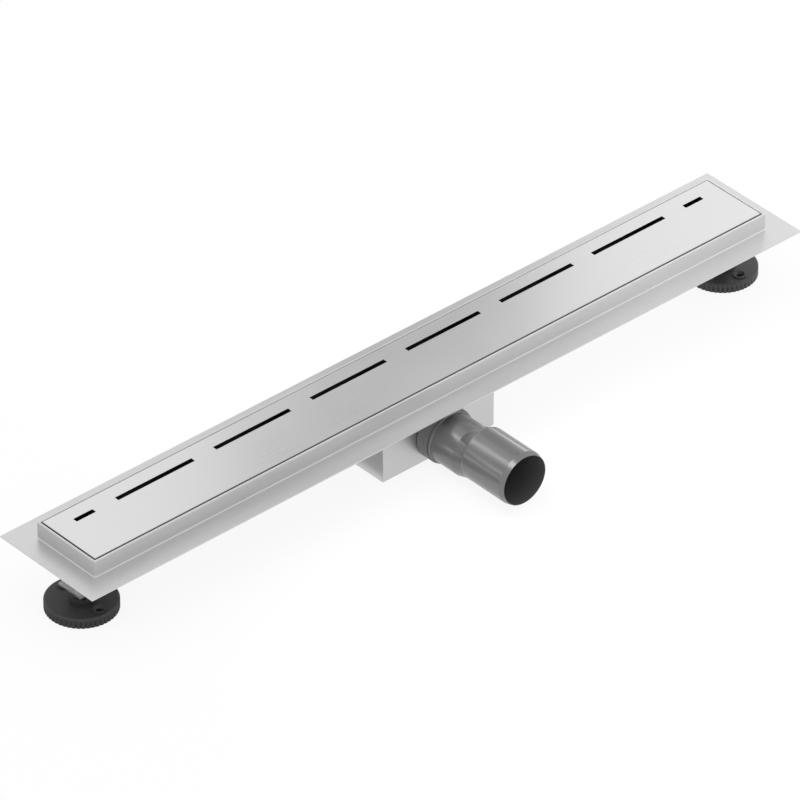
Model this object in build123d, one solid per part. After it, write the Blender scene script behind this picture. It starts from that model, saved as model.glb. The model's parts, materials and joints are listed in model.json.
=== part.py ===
from build123d import *
from math import cos, radians, sin, sqrt
import os

# A linear shower drain: a folded stainless channel with a tile flange, a slotted cover in its collar,
# a welded trap box below with a lift-out water trap, a side outlet and two levelling feet.
# Sizes in millimetres. X runs along the channel, Y across it with the outlet towards -Y, and Z is up.
# The origin is the middle of the cover's top face, which is level with the finished floor.

# Channel: one folded sheet with a doubled collar that stands up round the cover
sheet = 1.0
opening_length = 752.5
opening_width = 69.5
flange_end = 21.75
flange_side = 22.5
rim_drop = 0.2
collar_height = 16.4
hem_flat = 0.2
bend_radius = 1.0
end_depth = 6.3
floor_fall = 3.4
end_flat = 71.3
middle_flat = 43.4
floor_bend = 1.0

# Cover: a shallow folded tray with one row of slots beside its middle line
cover_sheet = 1.5
cover_gap = 0.7
cover_depth = 10.6
cover_edge_radius = 0.6
slot_count = 6
slot_length = 83.3
slot_width = 4.8
slot_row_inset = 16.5
slot_row_margin = 21.8
short_slot_length = 20.7
short_slot_space = 24.2

# Bridges under the cover, between slots, with rubber pads that stand on the channel floor
bridge_sheet = 1.5
bridge_width = 18.0
bridge_inset = 1.0
bridge_foot = 9.0
bridge_stations = (-3, -1, 1, 3)
pad_thickness = 2.0

# Trap box below the channel
box_length = 126.3
box_side_gap = 0.4
box_sheet = 1.0
box_drop = 57.2
box_corner = 1.2

# Outlet: threaded ferrule, union nut and moulded adapter with a raised pipe end
plug_radius = 22.0
plug_wall = 1.6
plug_start = 1.2
ferrule_gap = 0.1
ferrule_wall = 1.4
ferrule_length = 9.2
thread_clearance = 0.05
nut_wall = 2.05
nut_start = 0.8
nut_length = 12.4
nut_lip = 2.0
nut_ground_gap = 0.2
nut_grooves = 5
groove_depth = 0.45
groove_pitch = 2.1
neck_radius = 23.5
stop_ring_gap = 0.5
stop_ring_length = 2.4
stop_ring_rise = 1.5
cone_start = 42.4
cone_length = 12.1
spigot_raise = 6.0
spigot_radius = 25.0
spigot_wall = 1.8
spigot_length = 53.6
spigot_chamfer = 5.0
spigot_chamfer_depth = 1.45
shoulder_round = 3.0
throat_step = 0.1
lug_count = 3
lug_pitch = 72.0
lug_angle = 38.0
lug_first = 35.0

# Lift-out water trap: funnel with dip tube, cup round the tube, seal ring and hair strainer
trap_flange_gap = 2.1
trap_flange = 2.4
trap_seat_width = 3.5
trap_fit = 0.5
seal_thickness = 2.0
funnel_wall = 1.8
funnel_lip = 3.0
funnel_height = 7.0
tube_radius = 19.0
tube_wall = 1.5
tube_end_gap = 8.0
cup_fit = 2.0
cup_wall = 1.5
cup_floor_gap = 1.0
water_seal = 24.0
fin_count = 4
fin_thickness = 1.6
fin_fit = 0.05
fin_inset = 3.0
strainer_thickness = 1.5
strainer_ledge = 1.6
strainer_fit = 0.3
strainer_slots = 16
strainer_slot_length = 9.0
strainer_slot_width = 2.4
strainer_slot_inset = 5.0
strainer_knob_radius = 4.0
strainer_knob_height = 4.5
strainer_knob_chamfer = 1.0

# Levelling feet: a bent bracket under each end, a screw with two nuts, and a round plastic base
foot_inset = 37.0
foot_radius = 31.9
foot_height = 9.2
foot_plate = 3.0
foot_wall = 2.4
foot_chamfer = 1.4
foot_ribs = 8
foot_rib_thickness = 1.8
flute_count = 48
flute_cutter = 3.0
flute_depth = 0.8
flute_inset = 1.5
fixing_hole_radius = 2.5
countersink = 2.0
boss_wall = 1.7
boss_rise = 1.0
boss_inset = 9.25
hub_wall = 3.5
hub_rise = 2.7
hub_gap = 0.8
screw_radius = 3.95
screw_hole_clearance = 0.55
screw_top_gap = 0.8
screw_head_flats = 13.0
screw_head_height = 5.3
screw_head_lift = 1.2
screw_head_clearance = 0.05
nut_flats = 13.0
nut_height = 6.5
nut_chamfer = 0.6
nut_chamfer_width = 1.2
nut_clearance = 0.05
washer_width = 4.0
washer_thickness = 1.6
bracket_sheet = 2.0
bracket_width = 28.0
bracket_reach = 12.9
bracket_web = 24.1
bracket_weld = 29.0
bracket_bend = 2.5

# Widths and places that follow from the sizes above
collar_wall = 2 * sheet
flange_length = opening_length + 2 * (collar_wall + flange_end)
flange_width = opening_width + 2 * (collar_wall + flange_side)
pan_length = opening_length + 2 * sheet
pan_width = opening_width + 2 * sheet
cover_length = opening_length - 2 * cover_gap
cover_width = opening_width - 2 * cover_gap
slot_row_y = cover_width / 2 - slot_row_inset
short_slot_x = cover_length / 2 - slot_row_margin - short_slot_length / 2
last_slot_x = short_slot_x - short_slot_length / 2 - short_slot_space - slot_length / 2
slot_pitch = 2 * last_slot_x / (slot_count - 1)
box_width = pan_width + 2 * (box_side_gap + box_sheet)
box_face = -box_width / 2
foot_x = flange_length / 2 - foot_inset

# Radii that follow
ferrule_bore = plug_radius + ferrule_gap
ferrule_radius = ferrule_bore + ferrule_wall
nut_bore = ferrule_radius + thread_clearance
nut_radius = nut_bore + nut_wall
neck_bore = plug_radius - plug_wall
spigot_bore = spigot_radius - spigot_wall
throat_high = neck_radius - spigot_wall
throat_low = spigot_bore - spigot_raise - throat_step
throat_bore = (throat_high + throat_low) / 2
throat_raise = (throat_high - throat_low) / 2
trap_flange_radius = opening_width / 2 - trap_flange_gap
trap_hole_radius = trap_flange_radius - trap_seat_width
funnel_radius = trap_hole_radius - trap_fit
funnel_bore = funnel_radius - funnel_wall
strainer_radius = funnel_bore + strainer_ledge - strainer_fit
cup_radius = trap_hole_radius - cup_fit
hub_radius = screw_head_flats / sqrt(3) + hub_wall
boss_radius = fixing_hole_radius + countersink + boss_wall
boss_offset = foot_radius - boss_inset
washer_radius = screw_radius + washer_width

# Levels that follow, from the cover's top down
rim_level = -rim_drop
flange_level = rim_level - collar_height
end_floor = flange_level - end_depth
middle_floor = end_floor - floor_fall
base_level = flange_level - box_drop
trap_seat = middle_floor + seal_thickness
trap_top = trap_seat + trap_flange
cup_low = base_level + box_sheet + cup_floor_gap
tube_end = cup_low + cup_wall + tube_end_gap
cup_top = tube_end + water_seal
outlet_level = base_level + nut_radius + nut_ground_gap
spigot_level = outlet_level + spigot_raise
foot_top = base_level + foot_height
hub_top = foot_top + hub_rise
lower_nut_low = hub_top + hub_gap
lower_washer_low = lower_nut_low + nut_height
tab_low = lower_washer_low + washer_thickness
tab_level = tab_low + bracket_sheet
upper_nut_low = tab_level + washer_thickness
screw_top = end_floor - sheet - screw_top_gap
foot_travel = screw_top - nut_chamfer - upper_nut_low - nut_height

# Distances out of the box face
seal_end = nut_start + nut_length - nut_lip
ring_start = nut_start + nut_length + stop_ring_gap
ring_end = ring_start + stop_ring_length
shoulder = cone_start + cone_length
pipe_floor = shoulder + shoulder_round
outlet_end = shoulder + spigot_length


def block(length, width, low, high):
    """A box centred on the Z axis, from one level to another."""
    return Pos(0, 0, (low + high) / 2) * Box(length, width, high - low)


def rod(radius, low, high):
    """A round bar on the Z axis, from one level to another."""
    return Pos(0, 0, (low + high) / 2) * Cylinder(radius, high - low)


def turned(points):
    """A solid turned about the Z axis from points of radius and height."""
    return revolve(make_face(Plane.XZ * Polyline(*points, close=True)), Axis.Z)


def floor_level(x):
    """Level of the channel floor at a distance from the middle."""
    slope_end = opening_length / 2 - end_flat
    share = (min(max(abs(x), middle_flat), slope_end) - middle_flat) / (slope_end - middle_flat)
    return middle_floor + floor_fall * share


def pan_form(half_length, width, drop, top):
    """The trough as a solid form, with the floor lowered by a given amount."""
    slope_end = opening_length / 2 - end_flat
    points = [(half_length, top), (half_length, end_floor - drop), (slope_end, end_floor - drop)]
    points += [(middle_flat, middle_floor - drop)]
    points += [(-x, z) for x, z in reversed(points)]
    side = make_face(Plane.XZ * Polyline(*points, close=True))
    return extrude(side, width / 2, both=True)


def floor_edges(form):
    """The long edges where the trough's floor meets its two side walls."""
    edges = form.edges().filter_by(lambda e: abs(e.tangent_at(0.5).X) > 0.9)
    return edges.filter_by(lambda e: e.center().Z < flange_level - sheet)


def channel_body():
    """Folded sheet: tile flange, doubled collar, and a trough that falls to the trap hole."""
    flange = block(flange_length, flange_width, flange_level - sheet, flange_level)
    collar = block(opening_length + 2 * collar_wall, opening_width + 2 * collar_wall, flange_level, rim_level)
    upstand = flange + collar
    foot_line = upstand.edges().filter_by(lambda e: abs(e.center().Z - flange_level) < 0.01)
    foot_line = foot_line.filter_by(lambda e: abs(e.center().X) < flange_length / 2 - flange_end / 2)
    foot_line = foot_line.filter_by(lambda e: abs(e.center().Y) < flange_width / 2 - flange_side / 2)
    upstand = fillet(foot_line, bend_radius)
    pan = pan_form(pan_length / 2, pan_width, sheet, flange_level)
    pan = fillet(floor_edges(pan), floor_bend + sheet)
    inside = pan_form(opening_length / 2, opening_width, 0, 1)
    inside = fillet(floor_edges(inside), floor_bend)
    body = upstand + pan - inside
    rim = body.edges().filter_by(lambda e: abs(e.center().Z - rim_level) < 0.01)
    body = fillet(rim, (collar_wall - hem_flat) / 2)
    return body - rod(trap_hole_radius, middle_floor - 2 * sheet, middle_floor + sheet)


def cover_plate():
    """Slotted tray that lies in the collar, level with the tiles."""
    tray = block(cover_length, cover_width, -cover_depth, 0)
    inner_length = cover_length - 2 * cover_sheet
    inner_width = cover_width - 2 * cover_sheet
    tray -= block(inner_length, inner_width, -cover_depth - 1, -cover_sheet)
    top = tray.edges().filter_by(lambda e: abs(e.center().Z) < 0.01)
    tray = fillet(top, cover_edge_radius)
    for x, length in slot_places():
        tray -= Pos(x, slot_row_y, 0) * Box(length, slot_width, 4 * cover_sheet)
    return tray


def slot_places():
    """Middle and length of each slot along the row."""
    places = [(-last_slot_x + i * slot_pitch, slot_length) for i in range(slot_count)]
    return [(-short_slot_x, short_slot_length)] + places + [(short_slot_x, short_slot_length)]


def bridge_places():
    """Places of the bridges, between slots, so that none shows through them."""
    return [station * slot_pitch for station in bridge_stations]


def bridge_seat(x):
    """Level of a bridge's feet, a pad's thickness above the highest floor below it."""
    return floor_level(abs(x) + bridge_width / 2) + pad_thickness


def cover_bridges():
    """Folded strips across the tray, spot-welded to its underside."""
    half = cover_width / 2 - cover_sheet - bridge_inset
    bridges = []
    for x in bridge_places():
        low = bridge_seat(x)
        line = [(-half + bridge_foot, low), (-half, low), (-half, -cover_sheet)]
        line += [(-y, z) for y, z in reversed(line)]
        inner = [(-half + bridge_foot, low + bridge_sheet), (-half + bridge_sheet, low + bridge_sheet)]
        inner += [(-half + bridge_sheet, -cover_sheet - bridge_sheet)]
        inner += [(-y, z) for y, z in reversed(inner)]
        strip = make_face(Plane.YZ * Polyline(*line, *reversed(inner), close=True))
        bridges.append(Pos(x, 0, 0) * extrude(strip, bridge_width / 2, both=True))
    return Compound(children=bridges)


def cover_pads():
    """Rubber pads between the bridges' feet and the channel floor."""
    half = cover_width / 2 - cover_sheet - bridge_inset
    pads = []
    for x in bridge_places():
        top = bridge_seat(x)
        for side in (-1, 1):
            pad = Box(bridge_width, bridge_foot, pad_thickness)
            pads.append(Pos(x, side * (half - bridge_foot / 2), top - pad_thickness / 2) * pad)
    return Compound(children=pads)


def trap_box():
    """Folded and welded box under the channel, open at the top."""
    top = flange_level - sheet
    box = block(box_length, box_width, base_level, top)
    box = fillet(box.edges().filter_by(Axis.Z), box_corner)
    box = fillet(box.faces().sort_by(Axis.Z)[0].edges(), box_corner)
    inner = block(box_length - 2 * box_sheet, box_width - 2 * box_sheet, base_level + box_sheet, top + 1)
    box -= inner
    box -= pan_form(pan_length / 2, pan_width, sheet, top + 1)
    hole = Cylinder(ferrule_radius, 4 * box_sheet)
    return box - Pos(0, box_face, outlet_level) * Rot(90, 0, 0) * hole


def outlet_turned(points, level):
    """A solid turned about the outlet's axis, from points of radius and distance out of the box face."""
    return Pos(0, box_face, level) * Rot(90, 0, 0) * turned(points)


def outlet_ferrule():
    """Stainless threaded ferrule, welded into the box wall."""
    points = [(ferrule_bore, -box_sheet), (ferrule_radius, -box_sheet), (ferrule_radius, ferrule_length)]
    return outlet_turned(points + [(ferrule_bore, ferrule_length)], outlet_level)


def outlet_union_nut():
    """Union nut with fine grooves round it and an inward lip that presses the seal."""
    end = nut_start + nut_length
    outside = [(nut_radius, nut_start)]
    first = nut_start + (nut_length - (nut_grooves - 1) * groove_pitch) / 2
    for i in range(nut_grooves):
        middle = first + i * groove_pitch
        outside.append((nut_radius, middle - groove_depth))
        outside.append((nut_radius - groove_depth, middle))
        outside.append((nut_radius, middle + groove_depth))
    lip = [(nut_radius, end), (ferrule_bore, end), (ferrule_bore, seal_end)]
    return outlet_turned(outside + lip + [(nut_bore, seal_end), (nut_bore, nut_start)], outlet_level)


def outlet_cone_seal():
    """Rubber ring between the ferrule's end and the union nut's lip."""
    points = [(plug_radius, ferrule_length), (ferrule_radius, ferrule_length)]
    return outlet_turned(points + [(ferrule_radius, seal_end), (plug_radius, seal_end)], outlet_level)


def outlet_plane(distance, level):
    """Plane across the outlet at a distance out of the box face."""
    return Plane((0, box_face - distance, level), x_dir=(1, 0, 0), z_dir=(0, -1, 0))


def cone(first_radius, last_radius, last_raise):
    """An eccentric cone from the end of the neck to the floor of the raised pipe."""
    first = outlet_plane(cone_start, outlet_level) * Circle(first_radius)
    last = outlet_plane(pipe_floor, outlet_level + last_raise) * Circle(last_radius)
    return loft([first, last], ruled=True)


def outlet_lugs():
    """Lugs that climb from the neck to the raised pipe, with pockets between them."""
    climb = cone(neck_radius, spigot_radius, spigot_raise)
    reach = 2 * spigot_radius
    lugs = []
    for i in range(lug_count):
        angle = lug_first + i * lug_pitch
        ends = [angle - lug_angle / 2, angle + lug_angle / 2]
        corners = [(reach * cos(radians(a)), reach * sin(radians(a))) for a in ends]
        wedge = outlet_plane(cone_start, outlet_level) * Polyline((0, 0), *corners, close=True)
        lugs.append(climb & extrude(make_face(wedge), pipe_floor - cone_start))
    return lugs


def outlet_adapter():
    """Moulded adapter: plug, stop ring, neck, a throat with lugs, and the raised pipe end."""
    ring_radius = neck_radius + stop_ring_rise
    neck = [(0, plug_start), (plug_radius, plug_start), (plug_radius, ring_start), (ring_radius, ring_start)]
    neck += [(ring_radius, ring_end - stop_ring_rise / 2), (neck_radius, ring_end), (neck_radius, cone_start)]
    body = outlet_turned(neck + [(0, cone_start)], outlet_level)
    body += cone(neck_radius, throat_bore + spigot_wall, throat_raise)
    pipe = [(0, shoulder), (spigot_radius, shoulder), (spigot_radius, outlet_end - spigot_chamfer)]
    pipe += [(spigot_radius - spigot_chamfer_depth, outlet_end), (0, outlet_end)]
    spigot = outlet_turned(pipe, spigot_level)
    body += fillet(spigot.edges().sort_by(Axis.Y)[-1], shoulder_round)
    for lug in outlet_lugs():
        body += lug
    bore = outlet_turned([(0, 0), (neck_bore, 0), (neck_bore, cone_start), (0, cone_start)], outlet_level)
    bore += cone(neck_bore, throat_bore, throat_raise)
    room = [(0, pipe_floor), (spigot_bore, pipe_floor), (spigot_bore, outlet_end + 1), (0, outlet_end + 1)]
    return body - bore - outlet_turned(room, spigot_level)


def trap_seal_ring():
    """Flat rubber ring on the channel floor, under the trap's flange."""
    ring = rod(trap_flange_radius, middle_floor, trap_seat)
    return ring - rod(trap_hole_radius, middle_floor, trap_seat)


def trap_insert():
    """Funnel and dip tube in one moulding, hung in the trap hole by its flange."""
    cone_top = trap_seat - funnel_lip
    cone_low = cone_top - funnel_height
    tube_bore = tube_radius - tube_wall
    ledge = trap_top - strainer_thickness
    points = [(trap_flange_radius, trap_seat), (funnel_radius, trap_seat), (funnel_radius, cone_top)]
    points += [(tube_radius, cone_low), (tube_radius, tube_end), (tube_bore, tube_end)]
    points += [(tube_bore, cone_low + funnel_wall / 2), (funnel_bore, cone_top + funnel_wall / 2)]
    points += [(funnel_bore, ledge), (funnel_bore + strainer_ledge, ledge)]
    points += [(funnel_bore + strainer_ledge, trap_top), (trap_flange_radius, trap_top)]
    return turned(points)


def trap_cup():
    """Cup that holds the water seal round the dip tube, with fins that grip the tube."""
    inner = cup_radius - cup_wall
    floor = cup_low + cup_wall
    points = [(0, cup_low), (cup_radius, cup_low), (cup_radius, cup_top), (inner, cup_top), (inner, floor)]
    cup = turned(points + [(0, floor)])
    grip = tube_radius + fin_fit
    fin_length = inner - grip + cup_wall / 2
    for i in range(fin_count):
        fin = block(fin_length, fin_thickness, tube_end, cup_top - fin_inset)
        cup += Rot(0, 0, (i + 0.5) * 360 / fin_count) * Pos(grip + fin_length / 2, 0, 0) * fin
    return cup


def hair_strainer():
    """Slotted disc with a grip knob, lying in the funnel's rim."""
    disc = rod(strainer_radius, trap_top - strainer_thickness, trap_top)
    cutter = block(strainer_slot_length, strainer_slot_width, trap_top - 2 * strainer_thickness, trap_top + 1)
    reach = strainer_radius - strainer_slot_inset - strainer_slot_length / 2
    for i in range(strainer_slots):
        disc -= Rot(0, 0, i * 360 / strainer_slots) * Pos(reach, 0, 0) * cutter
    knob = rod(strainer_knob_radius, trap_top, trap_top + strainer_knob_height)
    return disc + chamfer(knob.edges().sort_by(Axis.Z)[-1], strainer_knob_chamfer)


def foot_bracket(side):
    """Strip bent twice, welded under the channel's end, with a tab for the levelling screw."""
    outer = foot_x + bracket_reach
    web = foot_x - bracket_web
    back = web - bracket_sheet
    top = end_floor - sheet
    line = [(outer, tab_low), (back, tab_low), (back, top - bracket_sheet)]
    line += [(web - bracket_weld, top - bracket_sheet), (web - bracket_weld, top), (web, top)]
    line += [(web, tab_level), (outer, tab_level)]
    strip = extrude(make_face(Plane.XZ * Polyline(*line, close=True)), bracket_width / 2, both=True)
    strip = fillet(edges_at(strip, (back, top - bracket_sheet), (web, tab_level)), bracket_bend)
    strip = fillet(edges_at(strip, (web, top), (back, tab_low)), bracket_bend + bracket_sheet)
    strip -= Pos(foot_x, 0, 0) * rod(screw_radius + screw_hole_clearance, tab_low - 1, tab_level + 1)
    return strip if side > 0 else Rot(0, 0, 180) * strip


def edges_at(strip, *corners):
    """The edges across a strip that pass through given corners of its side view."""
    found = ShapeList()
    for edge in strip.edges().filter_by(Axis.Y):
        middle = edge.center()
        if any(abs(middle.X - x) < 0.01 and abs(middle.Z - z) < 0.01 for x, z in corners):
            found.append(edge)
    return found


def hexagon(flats, low, high):
    """A hexagonal prism between two levels."""
    return extrude(Plane.XY.offset(low) * RegularPolygon(flats / 2, 6, major_radius=False), high - low)


def hex_nut(low):
    """Hexagon nut with its corners taken off at both faces."""
    high = low + nut_height
    corner = nut_flats / sqrt(3)
    face = corner - nut_chamfer_width
    points = [(0, low), (face, low), (corner, low + nut_chamfer), (corner, high - nut_chamfer)]
    body = hexagon(nut_flats, low, high) & turned(points + [(face, high), (0, high)])
    return body - rod(screw_radius + nut_clearance, low - 1, high + 1)


def foot_nuts():
    """The four nuts that clamp the two screws to their brackets."""
    lows = (upper_nut_low, lower_nut_low)
    return Compound(children=[Pos(side * foot_x, 0, 0) * hex_nut(low) for side in (-1, 1) for low in lows])


def foot_washers():
    """A washer above and below each bracket's tab."""
    washers = []
    for side in (-1, 1):
        for low in (tab_level, lower_washer_low):
            high = low + washer_thickness
            ring = rod(washer_radius, low, high) - rod(screw_radius + screw_hole_clearance, low, high)
            washers.append(Pos(side * foot_x, 0, 0) * ring)
    return Compound(children=washers)


def foot_screw(side):
    """Levelling screw with its hexagon head held in the foot's base."""
    low = base_level + screw_head_lift
    head = hexagon(screw_head_flats, low, low + screw_head_height)
    points = [(0, low), (screw_radius, low), (screw_radius, screw_top - nut_chamfer)]
    points += [(screw_radius - nut_chamfer, screw_top), (0, screw_top)]
    return Pos(side * foot_x, 0, 0) * (head + turned(points))


def foot_base(side):
    """Round moulded base: fluted rim, ribs below, a hub for the screw and two fixing bosses."""
    under = foot_top - foot_plate
    boss_top = foot_top + boss_rise
    points = [(0, base_level), (foot_radius, base_level), (foot_radius, foot_top - foot_chamfer)]
    base = turned(points + [(foot_radius - foot_chamfer, foot_top), (0, foot_top)])
    base -= rod(foot_radius - foot_wall, base_level - 1, under)
    reach = foot_radius - foot_wall / 2
    for i in range(foot_ribs):
        rib = Pos(reach / 2, 0, 0) * block(reach, foot_rib_thickness, base_level, under)
        base += Rot(0, 0, (i + 0.5) * 360 / foot_ribs) * rib
    base += rod(hub_radius, base_level, hub_top)
    sunk_radius = fixing_hole_radius + countersink
    hole = [(0, base_level - 1), (fixing_hole_radius, base_level - 1)]
    hole += [(fixing_hole_radius, boss_top - countersink), (sunk_radius, boss_top)]
    hole += [(sunk_radius, boss_top + 1), (0, boss_top + 1)]
    for y in (-boss_offset, boss_offset):
        base += Pos(0, y, 0) * rod(boss_radius, base_level, boss_top)
        base -= Pos(0, y, 0) * turned(hole)
    flute_top = foot_top - foot_chamfer - flute_inset
    flute = Rot(0, 0, 45) * block(flute_cutter, flute_cutter, base_level - 1, flute_top)
    flute_place = foot_radius - flute_depth + flute_cutter / sqrt(2)
    for i in range(flute_count):
        base -= Rot(0, 0, (i + 0.5) * 360 / flute_count) * Pos(flute_place, 0, 0) * flute
    head_top = base_level + screw_head_lift + screw_head_height
    base -= hexagon(screw_head_flats + 2 * screw_head_clearance, base_level - 1, head_top)
    base -= rod(screw_radius + nut_clearance, base_level, hub_top + 1)
    return Pos(side * foot_x, 0, 0) * base


def main():
    """Builds every piece and writes one file for each."""
    pieces = {
        "channel_body": channel_body(),
        "trap_box": trap_box(),
        "cover_plate": cover_plate(),
        "cover_bridges": cover_bridges(),
        "cover_pads": cover_pads(),
        "hair_strainer": hair_strainer(),
        "trap_insert": trap_insert(),
        "trap_cup": trap_cup(),
        "trap_seal_ring": trap_seal_ring(),
        "outlet_ferrule": outlet_ferrule(),
        "outlet_union_nut": outlet_union_nut(),
        "outlet_cone_seal": outlet_cone_seal(),
        "outlet_adapter": outlet_adapter(),
        "foot_nuts": foot_nuts(),
        "foot_washers": foot_washers(),
    }
    for name, side in (("left", -1), ("right", 1)):
        pieces["foot_bracket_" + name] = foot_bracket(side)
        pieces["foot_screw_" + name] = foot_screw(side)
        pieces["foot_base_" + name] = foot_base(side)
    os.makedirs("parts", exist_ok=True)
    for name, shape in pieces.items():
        export_step(shape, "parts/" + name + ".step")
    print("travel of each foot", round(foot_travel, 2))


main()
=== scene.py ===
# %% [markdown]
# A linear shower drain, dressed for its photograph.
#
# The solids of the drain are already true to size, so this lesson keeps them and gives each a finish.
# Only the two levelling screws are modelled again here, because a fine thread is a look and not a size.
# Camera, floor and lamps come first: a metal finish can only be judged in its own light.

# %% Load the frame
import json
from math import cos, pi, radians, sin, tan

import bpy
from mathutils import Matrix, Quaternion, Vector


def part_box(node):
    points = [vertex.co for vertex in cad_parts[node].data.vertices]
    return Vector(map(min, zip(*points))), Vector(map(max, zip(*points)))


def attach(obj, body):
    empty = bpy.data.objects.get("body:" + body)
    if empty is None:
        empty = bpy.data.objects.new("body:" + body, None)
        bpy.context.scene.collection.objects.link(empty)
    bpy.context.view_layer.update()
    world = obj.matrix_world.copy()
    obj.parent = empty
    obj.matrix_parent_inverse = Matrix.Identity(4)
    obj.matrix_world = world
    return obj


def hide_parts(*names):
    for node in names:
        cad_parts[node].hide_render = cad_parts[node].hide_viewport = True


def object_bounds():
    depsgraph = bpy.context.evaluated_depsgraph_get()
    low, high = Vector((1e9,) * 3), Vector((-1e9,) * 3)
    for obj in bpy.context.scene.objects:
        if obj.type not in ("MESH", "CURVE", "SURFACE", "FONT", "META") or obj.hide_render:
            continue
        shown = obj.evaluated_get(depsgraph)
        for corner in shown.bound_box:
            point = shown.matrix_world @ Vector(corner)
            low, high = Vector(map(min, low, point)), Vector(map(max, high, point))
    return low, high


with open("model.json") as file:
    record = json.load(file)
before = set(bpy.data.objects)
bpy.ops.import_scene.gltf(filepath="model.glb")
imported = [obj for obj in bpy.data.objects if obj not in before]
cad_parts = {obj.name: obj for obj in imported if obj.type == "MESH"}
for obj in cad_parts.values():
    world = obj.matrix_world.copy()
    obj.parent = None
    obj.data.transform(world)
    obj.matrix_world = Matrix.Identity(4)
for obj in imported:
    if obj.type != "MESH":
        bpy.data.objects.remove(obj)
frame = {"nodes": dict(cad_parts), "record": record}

cad_low, cad_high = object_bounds()
MM = 0.001
print("the drain is", [round((h - l) / MM, 1) for l, h in zip(cad_low, cad_high)], "mm")

# %% [markdown]
# The view.
#
# The photograph was taken with a very long lens, so the far end looks hardly smaller than the near
# one. The camera stands left of the outlet and looks down at about 36 degrees. A camera is easiest to
# place by the point it looks at, the two angles of its line of sight, and its distance.

# %% Camera
VIEW_AZIMUTH = radians(-41.489)
VIEW_ELEVATION = radians(35.811)
VIEW_ROLL = radians(-0.043)
VIEW_DISTANCE = 7.83
VIEW_LENS = 416.47
VIEW_POINT = Vector((-12.66, -1.99, -30.26)) * MM

back = Vector((sin(VIEW_AZIMUTH) * cos(VIEW_ELEVATION),
               -cos(VIEW_AZIMUTH) * cos(VIEW_ELEVATION),
               sin(VIEW_ELEVATION)))
camera = bpy.data.objects.new("camera", bpy.data.cameras.new("camera"))
bpy.context.collection.objects.link(camera)
camera.rotation_mode = "QUATERNION"
camera.location = VIEW_POINT + back * VIEW_DISTANCE
camera.rotation_quaternion = Quaternion(back, VIEW_ROLL) @ (-back).to_track_quat("-Z", "Y")
camera.data.lens = VIEW_LENS
camera.data.clip_end = 100
bpy.context.scene.camera = camera
bpy.context.scene.view_settings.view_transform = "Standard"
print("camera at", [round(v, 3) for v in camera.location])

# %% [markdown]
# The floor and the white room.
#
# The photograph has a plain white ground. A pale floor under plain lamps gives that ground. To the eye
# and to mirrors it is partly plain white, so the shadow of the drain stays but turns faint, as in a
# product picture. The sky is white, so that the steel has white to mirror. From below, the floor lets
# the eye through.

# %% Floor and sky
FLOOR_SIZE = 80.0
FLOOR_COLOUR = (0.95, 0.95, 0.95, 1)
FLOOR_WHITE = 0.88
SKY_FILL = 1.0


def new_material(name):
    """An empty node material with its output, and the tree to build in."""
    made = bpy.data.materials.new(name)
    made.use_nodes = True
    made.node_tree.nodes.clear()
    return made, made.node_tree


def node(tree, kind, **values):
    """Adds a node, and sets its sockets by name or its properties."""
    made = tree.nodes.new(kind)
    for name, value in values.items():
        words = name.replace("_", " ").title()
        if words in made.inputs:
            made.inputs[words].default_value = value
        else:
            setattr(made, name, value)
    return made


def maths(tree, operation, *values):
    """The result of an operation on sockets or plain numbers."""
    made = node(tree, "ShaderNodeMath", operation=operation)
    for value, socket in zip(values, made.inputs):
        if isinstance(value, (int, float)):
            socket.default_value = value
        else:
            tree.links.new(value, socket)
    return made.outputs[0]


def white_rays(tree):
    """One where a ray comes from the eye, a mirror or glass, and nought where it brings light."""
    path = node(tree, "ShaderNodeLightPath")
    direct = maths(tree, "MAXIMUM", path.outputs["Is Camera Ray"], path.outputs["Is Glossy Ray"])
    return maths(tree, "MAXIMUM", direct, path.outputs["Is Transmission Ray"])


sky = bpy.data.worlds.new("white_room")
sky.use_nodes = True
sky.node_tree.nodes.clear()
sky_fill = node(sky.node_tree, "ShaderNodeBackground", Color=(1, 1, 1, 1), Strength=SKY_FILL)
sky_white = node(sky.node_tree, "ShaderNodeBackground", Color=(1, 1, 1, 1), Strength=1.0)
sky_mix = node(sky.node_tree, "ShaderNodeMixShader")
sky_out = node(sky.node_tree, "ShaderNodeOutputWorld")
sky.node_tree.links.new(white_rays(sky.node_tree), sky_mix.inputs[0])
sky.node_tree.links.new(sky_fill.outputs[0], sky_mix.inputs[1])
sky.node_tree.links.new(sky_white.outputs[0], sky_mix.inputs[2])
sky.node_tree.links.new(sky_mix.outputs[0], sky_out.inputs["Surface"])
bpy.context.scene.world = sky

bpy.ops.object.select_all(action="DESELECT")
bpy.ops.mesh.primitive_plane_add(size=FLOOR_SIZE, location=(0, 0, cad_low.z))
floor = bpy.context.object
floor.name = "floor"
floor_material, tree = new_material("pale_floor")
floor_material.cycles.emission_sampling = "NONE"
pale = node(tree, "ShaderNodeBsdfDiffuse", Color=FLOOR_COLOUR)
white = node(tree, "ShaderNodeEmission", Color=(1, 1, 1, 1), Strength=1.0)
ground = node(tree, "ShaderNodeMixShader")
tree.links.new(maths(tree, "MULTIPLY", white_rays(tree), FLOOR_WHITE), ground.inputs[0])
tree.links.new(pale.outputs[0], ground.inputs[1])
tree.links.new(white.outputs[0], ground.inputs[2])
clear = node(tree, "ShaderNodeBsdfTransparent")
side = node(tree, "ShaderNodeNewGeometry")
mix = node(tree, "ShaderNodeMixShader")
tree.links.new(side.outputs["Backfacing"], mix.inputs[0])
tree.links.new(ground.outputs[0], mix.inputs[1])
tree.links.new(clear.outputs[0], mix.inputs[2])
tree.links.new(mix.outputs[0], node(tree, "ShaderNodeOutputMaterial").inputs["Surface"])
floor.data.materials.append(floor_material)
print("the floor lies at", round(cad_low.z / MM, 1), "mm")

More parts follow.
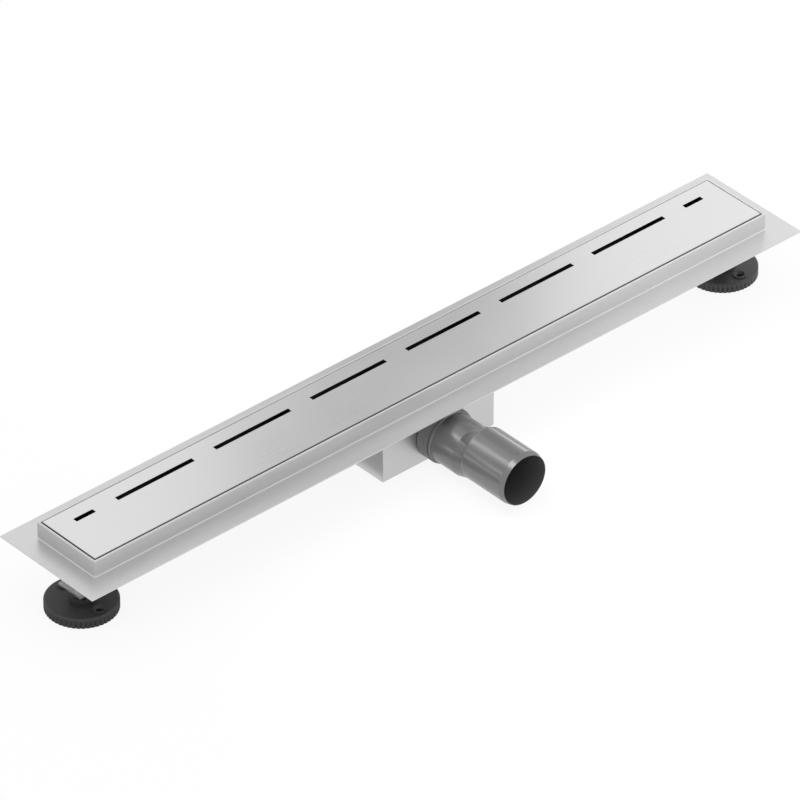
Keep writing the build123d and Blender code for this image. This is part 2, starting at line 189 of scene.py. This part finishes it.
# %% [markdown]
# The lamps and the cards.
#
# Satin steel shows whatever stands where its faces mirror it. The camera sees the cover mirror the sky
# behind the drain. The collar's front and left end mirror the sky in front and at the left, by way of
# the flange, and the left face of the box mirrors the floor. A grey card stands in each of these
# places. The card on the floor is a painted shadow: a grey sheet, seen only by mirrors, in place of the
# drain's shadow on the floor under it. Together they give the dark middle of the cover and the tones of
# the collar and the box.
#
# A wide lamp in front, beyond the right end, brightens the collar towards that end. The pipe mirrors a
# lamp where its surface faces halfway between the lamp and the eye, so two narrow lamps and a far one
# draw long soft lights along it. One more lights the mouth's rim, and a last one the shoulder. A grid
# on these lamps keeps their light near the pipe. The eye sees neither lamps nor cards.

# %% Lamps and cards
MIRROR_WAY = Vector((-back.x, -back.y, back.z))
FRONT_WAY = Vector((-back.x, back.y, back.z))
LEFT_WAY = Vector((back.x, -back.y, back.z))
COLLAR_END = Vector((0.6, -0.04, 0))
PIPE_MIDDLE = Vector((0, -0.116, -0.042))
PIPE_MOUTH = Vector((0, -0.14, -0.02))
PIPE_SHOULDER = Vector((0, -0.095, -0.02))
LEFT_GROUND = Vector((-0.25, 0.1, cad_low.z))
FRONT_REACH = 1.2
PIPE_REACH = 0.6
FAR_REACH = 2.4
CARD_REACH = 0.7
PIPE_GRID = radians(30)
SHOULDER_GRID = radians(12)


def pipe_way(angle):
    """The way in which the pipe mirrors the eye's line, where it faces an angle round its axis."""
    turn = 2 * radians(angle) - Vector((back.x, back.z)).angle_signed(Vector((1, 0)))
    across = Vector((back.x, back.z)).length
    return Vector((across * cos(turn), -back.y, across * sin(turn)))


def aimed(made, aim, offset):
    """Puts a thing at an offset from a point and turns its lit side to that point."""
    made.location = aim + offset
    made.rotation_euler = (aim - made.location).to_track_quat("-Z", "Y").to_euler()
    made.visible_camera = False


def softbox(name, aim, offset, width, height, glow, grid=None):
    """A rectangular lamp with a given brightness. A grid keeps its light within an angle of its aim."""
    lamp = bpy.data.lights.new(name, "AREA")
    lamp.shape = "RECTANGLE"
    lamp.size = width
    lamp.size_y = height
    lamp.energy = glow * pi * width * height
    if grid is not None:
        lamp.spread = 2 * grid
        lamp.energy *= 1 - grid / tan(grid)
    made = bpy.data.objects.new(name, lamp)
    bpy.context.collection.objects.link(made)
    aimed(made, aim, offset)


def card(name, aim, offset, width, height, tone):
    """A plain card that only mirrors see, with its tone."""
    bpy.ops.object.select_all(action="DESELECT")
    bpy.ops.mesh.primitive_plane_add(size=1)
    made = bpy.context.object
    made.name = name
    made.scale = (width, height, 1)
    aimed(made, aim, offset)
    made.visible_shadow = False
    made.visible_diffuse = False
    grey, tree = new_material(name)
    glow = node(tree, "ShaderNodeEmission", Color=(tone, tone, tone, 1), Strength=1.0)
    tree.links.new(glow.outputs[0], node(tree, "ShaderNodeOutputMaterial").inputs["Surface"])
    made.data.materials.append(grey)


# Each lamp has a name, the point that it lights, its offset from there, its width and height, its
# brightness and, where it has a grid, the grid's angle. A card has its tone in place of a brightness.
LAMPS = (
    ("front_lamp", COLLAR_END, FRONT_WAY * FRONT_REACH, 1.0, 1.0, 0.6),
    ("pipe_lamp_high", PIPE_MIDDLE, pipe_way(125) * PIPE_REACH, 0.084, 0.3, 3.6, PIPE_GRID),
    ("pipe_lamp_low", PIPE_MIDDLE, pipe_way(151) * PIPE_REACH, 0.084, 0.3, 2.4, PIPE_GRID),
    ("far_lamp", PIPE_MIDDLE, pipe_way(73) * FAR_REACH, 0.5, 0.4, 3.2),
    ("mouth_lamp", PIPE_MOUTH, Vector((-0.35, 0.1, 0.93)) * PIPE_REACH, 0.5, 0.25, 6.0, PIPE_GRID),
    ("shoulder_lamp", PIPE_SHOULDER, Vector((-0.03, 0.9, 0.43)) * PIPE_REACH, 0.24, 0.12, 8.0,
     SHOULDER_GRID))
CARDS = (
    ("cover_card", Vector((-0.028, 0, 0)), MIRROR_WAY * CARD_REACH, 0.285, 0.6, 0.55),
    ("front_card", Vector((-0.17, -0.04, 0)), FRONT_WAY * CARD_REACH, 0.42, 0.6, 0.68),
    ("left_card", Vector((-0.38, 0, 0)), LEFT_WAY * CARD_REACH, 0.4, 0.4, 0.62),
    # Painted shadow: a grey sheet just above the floor, seen only by mirrors, in place of the drain's
    # shadow there.
    ("low_card", LEFT_GROUND, Vector((0, 0, 0.4 * MM)), 0.36, 0.34, 0.42))
for values in LAMPS:
    softbox(*values)
for values in CARDS:
    card(*values)
print("lamps:", [values[0] for values in LAMPS], "and cards:", [values[0] for values in CARDS])

# %% [markdown]
# Effects that several finishes share.
#
# Each effect is a small node group with named sockets, built once and placed in every material that
# needs it. Rolled and brushed sheet has fine streaks along its length. Handling leaves large, faint
# clouds. Moulded plastic has a fine skin from its mould. Two more groups tell where a surface is: inside
# a tube, or inside the trough. The groups put out masks and heights only, and the material decides what
# to do with them.

# %% Shared effects
END_FACE = 0.7
INWARD = -2 * MM


def new_group(name, inputs, outputs):
    """A shader node group with float sockets, and its input and output nodes."""
    made = bpy.data.node_groups.new(name, "ShaderNodeTree")
    for word, value in inputs.items():
        made.interface.new_socket(word, in_out="INPUT", socket_type="NodeSocketFloat").default_value = value
    for word in outputs:
        made.interface.new_socket(word, in_out="OUTPUT", socket_type="NodeSocketFloat")
    return made, node(made, "NodeGroupInput"), node(made, "NodeGroupOutput")


def vector_parts(tree, x, y, z):
    """A vector from three sockets or numbers."""
    made = node(tree, "ShaderNodeCombineXYZ")
    for i, part in enumerate((x, y, z)):
        if isinstance(part, (int, float)):
            made.inputs[i].default_value = part
        else:
            tree.links.new(part, made.inputs[i])
    return made.outputs[0]


def streak_group():
    """Fine streaks along X, and along Y on the faces that look along X."""
    tree, given, out = new_group("sheet_streaks", {"Fine": 2200.0, "Long": 9.0}, ["Streaks"])
    place = node(tree, "ShaderNodeTexCoord")
    way = node(tree, "ShaderNodeSeparateXYZ")
    tree.links.new(place.outputs["Normal"], way.inputs[0])
    end_face = maths(tree, "GREATER_THAN", maths(tree, "ABSOLUTE", way.outputs[0]), END_FACE)
    fine, long = given.outputs["Fine"], given.outputs["Long"]
    choice = node(tree, "ShaderNodeMix", data_type="VECTOR")
    tree.links.new(end_face, choice.inputs["Factor"])
    tree.links.new(vector_parts(tree, long, fine, fine), choice.inputs[4])
    tree.links.new(vector_parts(tree, fine, long, fine), choice.inputs[5])
    scaled = node(tree, "ShaderNodeVectorMath", operation="MULTIPLY")
    tree.links.new(place.outputs["Object"], scaled.inputs[0])
    tree.links.new(choice.outputs[1], scaled.inputs[1])
    noise = node(tree, "ShaderNodeTexNoise", Scale=1.0, Detail=3.0, Roughness=0.6)
    tree.links.new(scaled.outputs[0], noise.inputs["Vector"])
    tree.links.new(noise.outputs["Fac"], out.inputs["Streaks"])
    return tree


def cloud_group():
    """Large soft clouds, as handling leaves on a clean surface."""
    tree, given, out = new_group("handling_clouds", {"Size": 9.0}, ["Clouds"])
    place = node(tree, "ShaderNodeTexCoord")
    noise = node(tree, "ShaderNodeTexNoise", Detail=2.0, Roughness=0.5)
    tree.links.new(place.outputs["Object"], noise.inputs["Vector"])
    tree.links.new(given.outputs["Size"], noise.inputs["Scale"])
    tree.links.new(noise.outputs["Fac"], out.inputs["Clouds"])
    return tree


def mould_group():
    """The fine even skin that a mould gives to plastic."""
    tree, given, out = new_group("mould_skin", {"Fine": 1800.0}, ["Skin"])
    place = node(tree, "ShaderNodeTexCoord")
    noise = node(tree, "ShaderNodeTexNoise", Detail=2.0, Roughness=0.7)
    tree.links.new(place.outputs["Object"], noise.inputs["Vector"])
    tree.links.new(given.outputs["Fine"], noise.inputs["Scale"])
    tree.links.new(noise.outputs["Fac"], out.inputs["Skin"])
    return tree


def tube_shade_group():
    """One on faces that look towards a level line along Y, as in a tube, and nought elsewhere."""
    tree, given, out = new_group("painted_tube_shade", {"Height": 0.0}, ["Inside"])
    place = node(tree, "ShaderNodeTexCoord")
    line = node(tree, "ShaderNodeVectorMath", operation="SUBTRACT")
    tree.links.new(place.outputs["Object"], line.inputs[0])
    tree.links.new(vector_parts(tree, 0, 0, given.outputs["Height"]), line.inputs[1])
    across = node(tree, "ShaderNodeVectorMath", operation="MULTIPLY")
    tree.links.new(line.outputs[0], across.inputs[0])
    across.inputs[1].default_value = (1, 0, 1)
    facing = node(tree, "ShaderNodeVectorMath", operation="DOT_PRODUCT")
    tree.links.new(across.outputs[0], facing.inputs[0])
    tree.links.new(place.outputs["Normal"], facing.inputs[1])
    tree.links.new(maths(tree, "LESS_THAN", facing.outputs["Value"], INWARD), out.inputs["Inside"])
    return tree


def trough_shade_group():
    """One inside the trough, from its sloping floor up to its top, and nought outside it."""
    sizes = {"Length": 1.0, "Width": 1.0, "Top": 0.0, "Middle": -1.0, "End": -1.0, "Slope": 0.0}
    tree, given, out = new_group("painted_trough_shade", sizes, ["Inside"])
    place = node(tree, "ShaderNodeTexCoord")
    parts = node(tree, "ShaderNodeSeparateXYZ")
    tree.links.new(place.outputs["Object"], parts.inputs[0])
    along = maths(tree, "ABSOLUTE", parts.outputs[0])
    across = maths(tree, "ABSOLUTE", parts.outputs[1])
    height = parts.outputs[2]
    rise = maths(tree, "MULTIPLY_ADD", along, given.outputs["Slope"], given.outputs["Middle"])
    bottom = maths(tree, "MINIMUM", rise, given.outputs["End"])
    total = maths(tree, "LESS_THAN", along, given.outputs["Length"])
    for limit in (maths(tree, "LESS_THAN", across, given.outputs["Width"]),
                  maths(tree, "LESS_THAN", height, given.outputs["Top"]),
                  maths(tree, "GREATER_THAN", height, bottom)):
        total = maths(tree, "MULTIPLY", total, limit)
    tree.links.new(total, out.inputs["Inside"])
    return tree


STREAKS = streak_group()
CLOUDS = cloud_group()
SKIN = mould_group()
TUBE_SHADE_MASK = tube_shade_group()
TROUGH_SHADE_MASK = trough_shade_group()
print("shared effects:", [g.name for g in bpy.data.node_groups])

# %% [markdown]
# Steel finishes.
#
# The channel, box and brackets are satin stainless sheet, and the cover is brushed a little finer.
# A metal's colour is the colour of what it mirrors, so the shader keeps its colour nearly grey and puts
# the work into roughness: streaks and clouds move it a little, which breaks up the soft lamps as real
# sheet does. A small rounding of the edges, made in the shader, catches the thin light lines that the
# photograph shows along every fold. Inside the trough the colour holds painted shade: a darker tone in
# place of the shade there, so that the slots look black. That painted shade ends at a line within the
# thickness of the sloping floor, so the underside keeps its own tone. Below the channel the box and the
# brackets have painted shade too: a colour a little darker, in place of the shade under the channel.

# %% Steel
def place_group(tree, group, **values):
    """Places a shared effect in a material with its own values."""
    made = node(tree, "ShaderNodeGroup", node_tree=group)
    for name, value in values.items():
        made.inputs[name].default_value = value
    return made.outputs[0]


def spread(tree, source, low, high):
    """A mask spread between two values, taking noise's useful middle range."""
    made = node(tree, "ShaderNodeMapRange")
    tree.links.new(source, made.inputs["Value"])
    for name, value in (("From Min", 0.3), ("From Max", 0.7), ("To Min", low), ("To Max", high)):
        made.inputs[name].default_value = value
    return made.outputs[0]


def tint(tree, mask, dark, light):
    """A colour between two, by a mask."""
    made = node(tree, "ShaderNodeMix", data_type="RGBA")
    tree.links.new(mask, made.inputs["Factor"])
    made.inputs[6].default_value = (*dark, 1)
    made.inputs[7].default_value = (*light, 1)
    return made.outputs[2]


def toned(tree, colour, mask, share):
    """A colour that keeps only a share of its tone where a mask is one."""
    made = node(tree, "ShaderNodeMix", data_type="RGBA", blend_type="MULTIPLY")
    tree.links.new(mask, made.inputs["Factor"])
    tree.links.new(colour, made.inputs[6])
    made.inputs[7].default_value = (share, share, share, 1)
    return made.outputs[2]


def bump(tree, height, distance, edge):
    """A bump over edges that are rounded by a given radius."""
    rounded = node(tree, "ShaderNodeBevel", samples=6)
    rounded.inputs["Radius"].default_value = edge
    made = node(tree, "ShaderNodeBump")
    made.inputs["Strength"].default_value = 1.0
    made.inputs["Distance"].default_value = distance
    tree.links.new(height, made.inputs["Height"])
    tree.links.new(rounded.outputs[0], made.inputs["Normal"])
    return made.outputs[0]


def shader(tree, **values):
    """The surface shader and the output, with plain values set on its own sockets."""
    made = node(tree, "ShaderNodeBsdfPrincipled")
    for name, value in values.items():
        made.inputs[name.replace("_", " ").title().replace("Ior", "IOR")].default_value = value
    tree.links.new(made.outputs[0], node(tree, "ShaderNodeOutputMaterial").inputs["Surface"])
    return made


# Painted shade: inside the trough the sheet keeps only this share of its tone, in place of the shade there.
TROUGH_SHADE_SHARE = 0.35
TROUGH_PLACE = {"Length": 376.3 * MM, "Width": 34.8 * MM, "Top": -0.02 * MM,
                "Middle": -27.25 * MM, "End": -23.4 * MM, "Slope": 0.0127}
# Painted shade: below this level, under the channel, the sheet keeps this share of its tone.
LOW_LEVEL = -27 * MM
LOW_SHADE_SHARE = 0.87


def steel(name, dark, light, smooth, rough, relief, edge, fine=2200.0, size=9.0, low=False,
          trough=True):
    """Stainless sheet: streaks and clouds between two tones and two roughnesses.

    Low adds painted shade below the channel, and trough adds painted shade inside the trough."""
    made, tree = new_material(name)
    surface = shader(tree, Metallic=1.0)
    streaks = place_group(tree, STREAKS, Fine=fine, Long=9.0)
    clouds = place_group(tree, CLOUDS, Size=size)
    roughness = maths(tree, "ADD", spread(tree, clouds, smooth, rough), spread(tree, streaks, -0.02, 0.02))
    tree.links.new(roughness, surface.inputs["Roughness"])
    colour = tint(tree, spread(tree, streaks, 0.0, 1.0), dark, light)
    # Painted shade inside the trough.
    if trough:
        colour = toned(tree, colour, place_group(tree, TROUGH_SHADE_MASK, **TROUGH_PLACE), TROUGH_SHADE_SHARE)
    # Painted shade below the channel, on the box and the brackets.
    if low:
        parts = node(tree, "ShaderNodeSeparateXYZ")
        tree.links.new(node(tree, "ShaderNodeTexCoord").outputs["Object"], parts.inputs[0])
        colour = toned(tree, colour, maths(tree, "LESS_THAN", parts.outputs[2], LOW_LEVEL), LOW_SHADE_SHARE)
    tree.links.new(colour, surface.inputs["Base Color"])
    tree.links.new(bump(tree, streaks, relief * MM, edge * MM), surface.inputs["Normal"])
    return made


FINISHES = {
    "satin_steel": steel("satin_steel", (0.65, 0.65, 0.65), (0.69, 0.69, 0.687), 0.36, 0.42, 0.004, 0.3,
                         low=True),
    "brushed_cover": steel("brushed_cover", (0.73, 0.73, 0.73), (0.77, 0.77, 0.765), 0.27, 0.33, 0.004,
                           0.3),
    "zinc_steel": steel("zinc_steel", (0.60, 0.61, 0.62), (0.68, 0.68, 0.68), 0.22, 0.34, 0.003, 0.25,
                        fine=900.0, size=80.0, trough=False),
}
print("steel finishes:", list(FINISHES))

# %% [markdown]
# Plastic and rubber finishes.
#
# The outlet is grey polypropylene: a soft sheen, a fine mould skin and long soft lights along its
# axis. Inside the tube its colour is painted shade, held at the darker of its two tones. The feet are
# black and duller. One function makes all of them, because they differ only in colour, gloss and skin.

# %% Plastic
def plastic(name, dark, light, smooth, rough, relief, edge, fine=1800.0, ior=1.5, inside=None):
    """Moulded plastic: clouds between two tones, and a fine skin. A tube can have painted shade inside, as
    a tone of its own.
    """
    made, tree = new_material(name)
    surface = shader(tree, Metallic=0.0, IOR=ior)
    clouds = place_group(tree, CLOUDS, Size=30.0)
    skin = place_group(tree, SKIN, Fine=fine)
    tree.links.new(spread(tree, clouds, smooth, rough), surface.inputs["Roughness"])
    colour = tint(tree, spread(tree, clouds, 0.0, 1.0), dark, light)
    # Painted shade inside a tube: a tone of its own on the faces that look towards its axis.
    if inside is not None:
        choice = node(tree, "ShaderNodeMix", data_type="RGBA")
        tree.links.new(place_group(tree, TUBE_SHADE_MASK, Height=PIPE_MIDDLE.z), choice.inputs["Factor"])
        tree.links.new(colour, choice.inputs[6])
        choice.inputs[7].default_value = (*inside, 1)
        colour = choice.outputs[2]
    tree.links.new(colour, surface.inputs["Base Color"])
    tree.links.new(bump(tree, skin, relief * MM, edge * MM), surface.inputs["Normal"])
    return made


# Painted shade: inside the pipe the grey keeps its darker tone.
FINISHES["grey_plastic"] = plastic("grey_plastic", (0.085, 0.085, 0.085), (0.105, 0.105, 0.105),
                                   0.21, 0.27, 0.006, 0.3, ior=1.85, inside=(0.085, 0.085, 0.085))
FINISHES["dark_grey_plastic"] = plastic("dark_grey_plastic", (0.145, 0.145, 0.145), (0.165, 0.165, 0.165),
                                        0.34, 0.42, 0.008, 0.2)
FINISHES["black_plastic"] = plastic("black_plastic", (0.028, 0.028, 0.028), (0.036, 0.036, 0.036),
                                    0.42, 0.52, 0.02, 0.3)
FINISHES["black_rubber"] = plastic("black_rubber", (0.015, 0.015, 0.015), (0.02, 0.02, 0.02),
                                   0.6, 0.7, 0.03, 0.2)
print("all finishes:", list(FINISHES))

# %% [markdown]
# The levelling screws.
#
# Each foot stands on an M8 screw, whose thread shows from the side and from below. On a lathe a thread
# is one groove that winds round a bar. Here one turn of the V form is drawn as a short line, wound up
# by a Screw modifier, and cut to a bar with a chamfered end. Each point of that line has a radius and
# its share of the pitch. The six-sided head sits in the foot. The second screw is a copy of the first.

# %% Levelling screws
PITCH = 1.25 * MM
CREST = 3.95 * MM
ROOT = 3.23 * MM
THREAD_FORM = ((ROOT, 0.0), (ROOT, 0.25), (CREST, 0.5625), (CREST, 0.6875), (ROOT, 1.0))
THREAD_STEPS = 28
SPARE_TURNS = 5
POINT_CHAMFER = 0.6 * MM
HEAD_HEIGHT = 5.3 * MM
HEAD_CHAMFER = 0.5 * MM
SLEEVE_ROOM = 0.1 * MM
HAIR = 0.01 * MM
MERGE = 0.001 * MM
JOINT_MERGE = 0.004 * MM


def select_only(thing):
    """Makes one object the only selected and active one."""
    bpy.ops.object.select_all(action="DESELECT")
    thing.select_set(True)
    bpy.context.view_layer.objects.active = thing


def pick(thing, kind, wanted):
    """In edit mode, selects only the vertices, edges or faces that a test wants, by their middle."""
    bpy.ops.mesh.select_mode(type=kind)
    bpy.ops.mesh.select_all(action="DESELECT")
    bpy.ops.object.mode_set(mode="OBJECT")
    mesh = thing.data
    parts = {"VERT": mesh.vertices, "EDGE": mesh.edges, "FACE": mesh.polygons}[kind]
    for part in parts:
        corners = [part] if kind == "VERT" else [mesh.vertices[i] for i in part.vertices]
        part.select = wanted(sum((c.co for c in corners), Vector()) / len(corners))
    bpy.ops.object.mode_set(mode="EDIT")


def apply_modifier(thing, kind, **values):
    """Adds a modifier with its values and applies it."""
    select_only(thing)
    made = thing.modifiers.new(kind.lower(), kind)
    for name, value in values.items():
        setattr(made, name, value)
    bpy.ops.object.modifier_apply(modifier=made.name)


def thread_line(x, y, low):
    """One turn of the thread's form, as a chain of short edges beside the screw's axis."""
    bpy.ops.object.select_all(action="DESELECT")
    bpy.ops.mesh.primitive_plane_add(size=PITCH)
    line = bpy.context.object
    bpy.ops.object.mode_set(mode="EDIT")
    pick(line, "VERT", lambda at: at.x > 0)
    bpy.ops.mesh.delete(type="VERT")
    bpy.ops.mesh.select_all(action="SELECT")
    bpy.ops.mesh.subdivide(number_cuts=len(THREAD_FORM) - 2)
    bpy.ops.object.mode_set(mode="OBJECT")
    chain = sorted(line.data.vertices, key=lambda v: v.co.y)
    for vertex, (radius, share) in zip(chain, THREAD_FORM):
        vertex.co = (radius, 0, low + share * PITCH)
    line.location = (x, y, 0)
    return line


def threaded_bar(x, y, low, high):
    """A bar with a right-hand thread and a chamfered upper end."""
    bar = thread_line(x, y, low - 2 * PITCH)
    turns = int((high - low) / PITCH) + SPARE_TURNS
    apply_modifier(bar, "SCREW", axis="Z", angle=2 * pi, screw_offset=PITCH, iterations=turns,
                   steps=THREAD_STEPS, render_steps=THREAD_STEPS, use_merge_vertices=True,
                   merge_threshold=MERGE)
    select_only(bar)
    bpy.ops.object.transform_apply(location=True, rotation=True, scale=True)
    bpy.ops.object.mode_set(mode="EDIT")
    for level, over in ((low, False), (high + PITCH, True)):
        bpy.ops.mesh.select_all(action="SELECT")
        bpy.ops.mesh.remove_doubles(threshold=MERGE)
        bpy.ops.mesh.bisect(plane_co=(0, 0, level), plane_no=(0, 0, 1), use_fill=True,
                            clear_inner=not over, clear_outer=over)
    bpy.ops.mesh.select_all(action="SELECT")
    bpy.ops.mesh.normals_make_consistent(inside=False)
    bpy.ops.object.mode_set(mode="OBJECT")
    bpy.ops.object.select_all(action="DESELECT")
    bpy.ops.mesh.primitive_cylinder_add(vertices=48, radius=CREST + SLEEVE_ROOM, depth=high - low + PITCH,
                                        location=(x, y, (high + low - PITCH) / 2))
    sleeve = bpy.context.object
    bpy.ops.object.transform_apply(location=True, rotation=True, scale=True)
    bpy.ops.object.mode_set(mode="EDIT")
    pick(sleeve, "FACE", lambda at: at.z > high - HAIR)
    bpy.ops.mesh.bevel(offset=POINT_CHAMFER + SLEEVE_ROOM, segments=1, affect="EDGES")
    bpy.ops.object.mode_set(mode="OBJECT")
    apply_modifier(bar, "BOOLEAN", operation="INTERSECT", solver="EXACT", object=sleeve)
    bpy.data.objects.remove(sleeve)
    return bar


def screw_head(x, y, low, radius):
    """A six-sided head with its lower corners taken off."""
    bpy.ops.object.select_all(action="DESELECT")
    bpy.ops.mesh.primitive_cylinder_add(vertices=6, radius=radius, depth=HEAD_HEIGHT,
                                        location=(x, y, low + HEAD_HEIGHT / 2),
                                        rotation=(0, 0, radians(30)))
    head = bpy.context.object
    bpy.ops.object.transform_apply(location=True, rotation=True, scale=True)
    bpy.ops.object.mode_set(mode="EDIT")
    pick(head, "FACE", lambda at: at.z < low + HAIR)
    bpy.ops.mesh.bevel(offset=HEAD_CHAMFER, segments=1, affect="EDGES")
    bpy.ops.object.mode_set(mode="OBJECT")
    return head


def levelling_screw(name, node_name):
    """A whole screw in the place of its CAD node."""
    low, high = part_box(node_name)
    x, y = (low.x + high.x) / 2, (low.y + high.y) / 2
    made = threaded_bar(x, y, low.z + HEAD_HEIGHT / 2, high.z)
    head = screw_head(x, y, low.z, (high.x - low.x) / 2)
    apply_modifier(made, "BOOLEAN", operation="UNION", solver="EXACT", object=head)
    bpy.data.objects.remove(head)
    made.name = name
    select_only(made)
    bpy.ops.object.mode_set(mode="EDIT")
    bpy.ops.mesh.select_all(action="SELECT")
    bpy.ops.mesh.remove_doubles(threshold=JOINT_MERGE)
    bpy.ops.mesh.fill_holes(sides=12)
    bpy.ops.mesh.normals_make_consistent(inside=False)
    bpy.ops.object.mode_set(mode="OBJECT")
    bpy.ops.object.shade_smooth_by_angle(angle=radians(30))
    return made


screws = {"left": levelling_screw("threaded_screw_left", "foot_screw_left")}
screws["right"] = screws["left"].copy()
screws["right"].data = screws["left"].data.copy()
screws["right"].name = "threaded_screw_right"
bpy.context.collection.objects.link(screws["right"])
select_only(screws["right"])
bpy.ops.object.mode_set(mode="EDIT")
bpy.ops.mesh.select_all(action="SELECT")
bpy.ops.transform.translate(value=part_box("foot_screw_right")[0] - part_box("foot_screw_left")[0])
bpy.ops.object.mode_set(mode="OBJECT")
for side, screw in screws.items():
    screw.data.materials.clear()
    screw.data.materials.append(FINISHES["zinc_steel"])
    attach(screw, "foot_" + side)
    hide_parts("foot_screw_" + side)
    print(screw.name, len(screw.data.polygons), "faces")

# %% [markdown]
# Dress the solids.
#
# The record says which finish each node takes, so the finishes are handed out by its slots.

# %% Hand out the finishes
for part in frame["record"]["subparts"]:
    solid = frame["nodes"][part["node"]]
    solid.data.materials.clear()
    solid.data.materials.append(FINISHES[part["material_slot"]])
print(len(frame["nodes"]), "solids have their finish")
